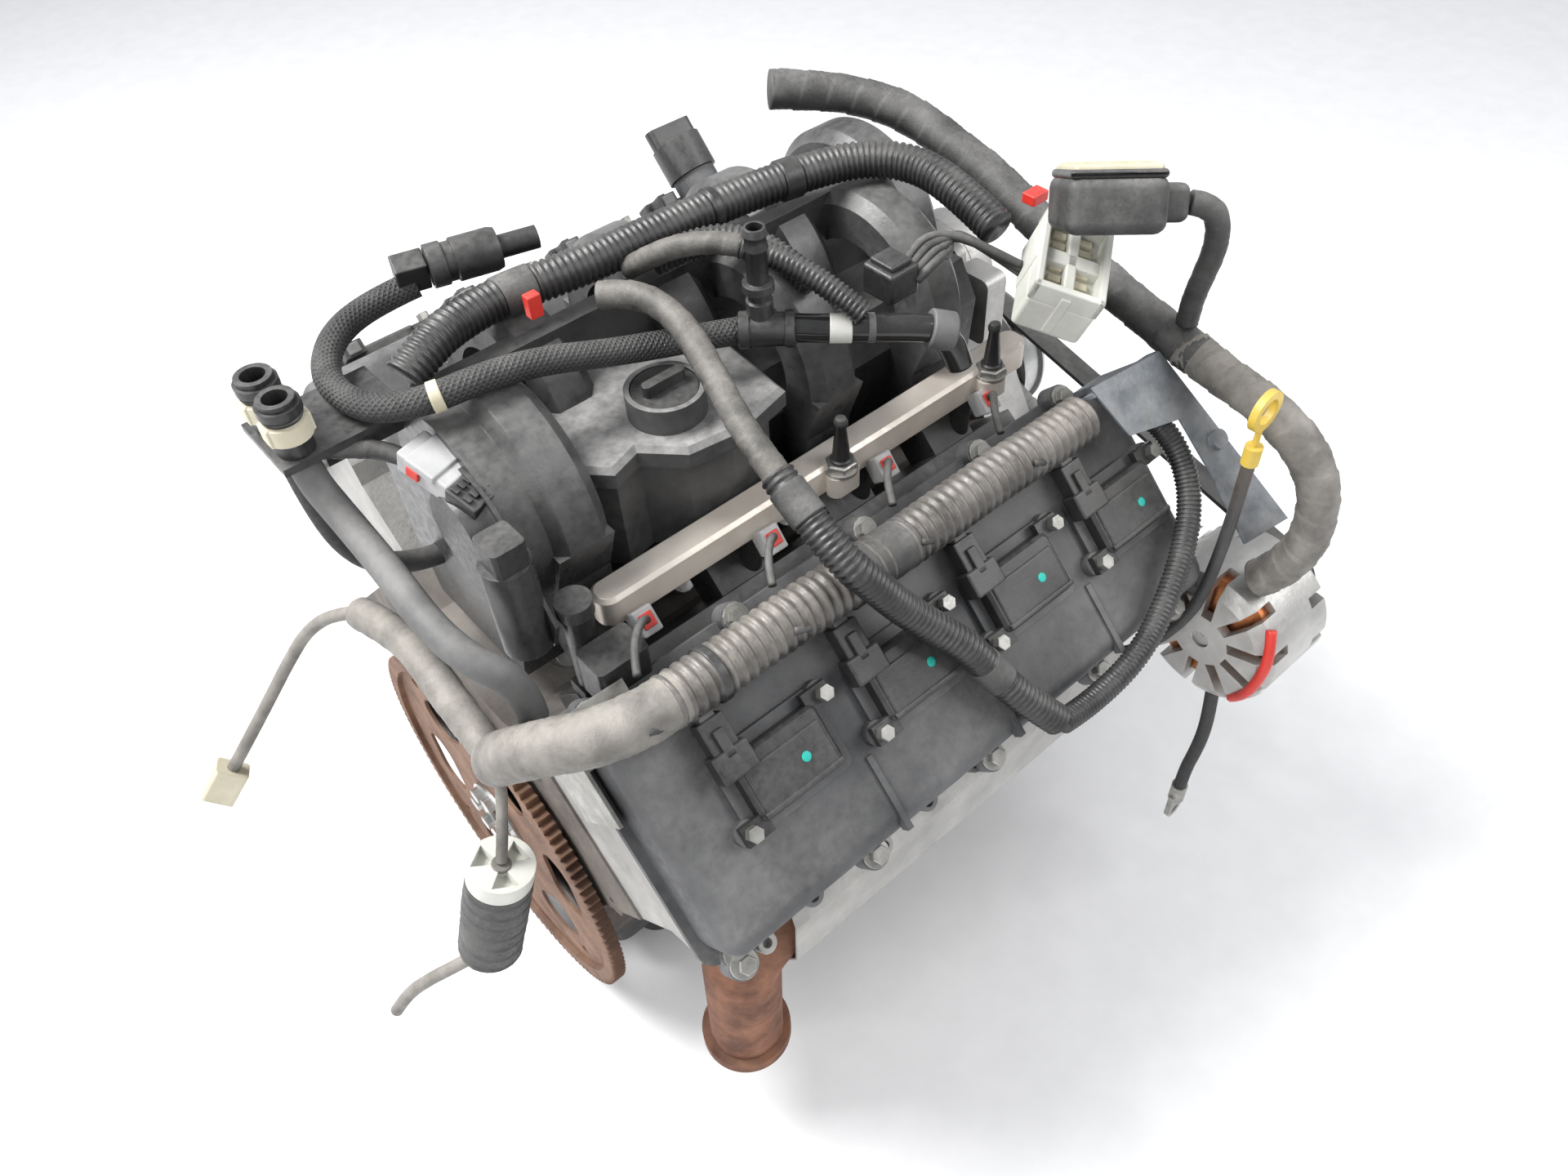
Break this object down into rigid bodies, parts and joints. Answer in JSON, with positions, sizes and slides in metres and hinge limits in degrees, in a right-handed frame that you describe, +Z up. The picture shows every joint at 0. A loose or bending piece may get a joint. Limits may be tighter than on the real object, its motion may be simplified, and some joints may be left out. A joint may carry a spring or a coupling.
{
  "type": "v8_engine",
  "caption": "Ninety degree V8 petrol truck engine with its intake, coils, fuel rails, manifolds, belt drive, drive plate and wiring, spinning on its crank",
  "frame": {"origin": "crank axis where it crosses the block's rear face", "axes": "+X to the front (belt end), +Y to the engine's left, +Z up"},
  "size_m": [0.8428, 0.7708, 0.7501],
  "materials": {
    "cast_iron": "rough cast, dusty",
    "cast_aluminium": "sand cast, dulled",
    "machined_steel": "machined, oiled",
    "zinc_steel": "zinc plated",
    "pressed_steel": "black painted sheet",
    "rusty_steel": "rusted",
    "cover_plastic": "dusty moulded plastic",
    "coil_plastic": "moulded plastic",
    "rail_metal": "satin champagne paint",
    "black_rubber": "rubber",
    "loom_tape": "dusty cloth tape",
    "loom_tube": "corrugated tube",
    "pale_plastic": "milky plastic",
    "shield_sheet": "dusty grey sheet"
  },
  "bodies": {
    "root": {"cylinder_block": "cast_iron", "main_bearing_caps": "cast_iron", "oil_pan": "pressed_steel", "pistons": "cast_aluminium", "connecting_rods": "machined_steel", "timing_chain": "machined_steel", "cylinder_head_right": "cast_aluminium", "cylinder_head_left": "cast_aluminium", "engine_valves": "machined_steel", "lifters_and_rockers": "machined_steel", "valve_cover_right": "cover_plastic", "valve_cover_left": "cover_plastic", "cover_bolts": "zinc_steel", "ignition_coils": "coil_plastic", "wire_connectors": "pale_plastic", "intake_manifold": "cover_plastic", "plenum_cover": "cover_plastic", "throttle_body": "cast_aluminium", "tuning_valve": "coil_plastic", "fuel_rails": "rail_metal", "fuel_injectors": "coil_plastic", "exhaust_manifold_right": "rusty_steel", "exhaust_manifold_left": "rusty_steel", "heat_shield": "shield_sheet", "timing_cover": "cast_aluminium", "water_pump": "cast_aluminium", "accessory_belt": "black_rubber", "alternator_housing": "cast_aluminium", "brackets": "zinc_steel", "oil_filter": "pressed_steel", "dipstick_tube": "pressed_steel", "pipe_couplings": "coil_plastic", "capped_post": "coil_plastic", "front_shield": "shield_sheet", "taped_looms": "loom_tape", "black_looms": "loom_tube", "hoses": "black_rubber", "left_lead": "loom_tape", "left_plug": "pale_plastic", "barrel_lead": "loom_tape", "barrel_plug": "pale_plastic", "barrel_tail": "loom_tape", "battery_cable": "black_rubber", "cable_lug": "zinc_steel"},
    "crank": {"crankshaft": "machined_steel", "crank_damper": "machined_steel", "flexplate": "rusty_steel", "flexplate_bolts": "machined_steel", "crank_sprocket": "machined_steel"},
    "cam": {"camshaft": "machined_steel", "cam_sprocket": "machined_steel"},
    "pump_wheel": {"water_pump_pulley": "machined_steel"},
    "alternator_wheel": {"alternator_rotor": "machined_steel"},
    "idler_wheel": {"idler_pulley": "coil_plastic"},
    "tensioner": {"tensioner_arm": "cast_aluminium"},
    "tensioner_wheel": {"tensioner_pulley": "coil_plastic"},
    "throttle": {"throttle_plate": "machined_steel"},
    "filler_cap": {"oil_filler_cap": "coil_plastic"},
    "shelf_cap": {"plenum_cap": "coil_plastic"},
    "dipstick_blade": {"dipstick": "rail_metal"}
  },
  "joints": [
    {"name": "crank_spin", "type": "hinge", "parent": "root", "child": "crank", "pos_m": [0.26, 0, 0], "axis": [1, 0, 0], "continuous": true, "deforming": ["connecting_rods"]},
    {"name": "cam_spin", "type": "hinge", "parent": "root", "child": "cam", "pos_m": [0.26, 0, 0.163], "axis": [1, 0, 0], "continuous": true},
    {"name": "pump_spin", "type": "hinge", "parent": "root", "child": "pump_wheel", "pos_m": [0.6, 0, 0.2], "axis": [1, 0, 0], "continuous": true},
    {"name": "alternator_spin", "type": "hinge", "parent": "root", "child": "alternator_wheel", "pos_m": [0.56, -0.352, 0.14], "axis": [1, 0, 0], "continuous": true},
    {"name": "idler_spin", "type": "hinge", "parent": "root", "child": "idler_wheel", "pos_m": [0.612, 0.088, 0.112], "axis": [1, 0, 0], "continuous": true},
    {"name": "tensioner_swing", "type": "hinge", "parent": "root", "child": "tensioner", "pos_m": [0.59, -0.092, -0.022], "axis": [1, 0, 0], "range_deg": [0, 12], "stiffness_Nm_per_rad": 20},
    {"name": "tensioner_wheel_spin", "type": "hinge", "parent": "tensioner", "child": "tensioner_wheel", "pos_m": [0.612, -0.18, 0.005], "axis": [1, 0, 0], "continuous": true},
    {"name": "throttle_turn", "type": "hinge", "parent": "root", "child": "throttle", "pos_m": [0.528, 0, 0.33], "axis": [0, 1, 0], "range_deg": [0, 84], "stiffness_Nm_per_rad": 0.5},
    {"name": "filler_cap_twist", "type": "hinge", "parent": "root", "child": "filler_cap", "pos_m": [0.464, 0.26304, 0.3479], "axis": [0, 0.7071, 0.7071], "range_deg": [0, 90]},
    {"name": "shelf_cap_twist", "type": "hinge", "parent": "root", "child": "shelf_cap", "pos_m": [0.176, -0.086, 0.44], "axis": [0, 0, 1], "range_deg": [0, 90]},
    {"name": "dipstick_pull", "type": "slide", "parent": "root", "child": "dipstick_blade", "axis": [0, 0, 1], "range_m": [0, 0.09]}
  ],
  "couplings": [
    {"joint": "cam_spin", "follows": "crank_spin", "ratio": 0.5},
    {"joint": "pump_spin", "follows": "crank_spin", "ratio": 1.2903},
    {"joint": "alternator_spin", "follows": "crank_spin", "ratio": 2.8571},
    {"joint": "idler_spin", "follows": "crank_spin", "ratio": 2.2222},
    {"joint": "tensioner_wheel_spin", "follows": "crank_spin", "ratio": -2.2222}
  ]
}
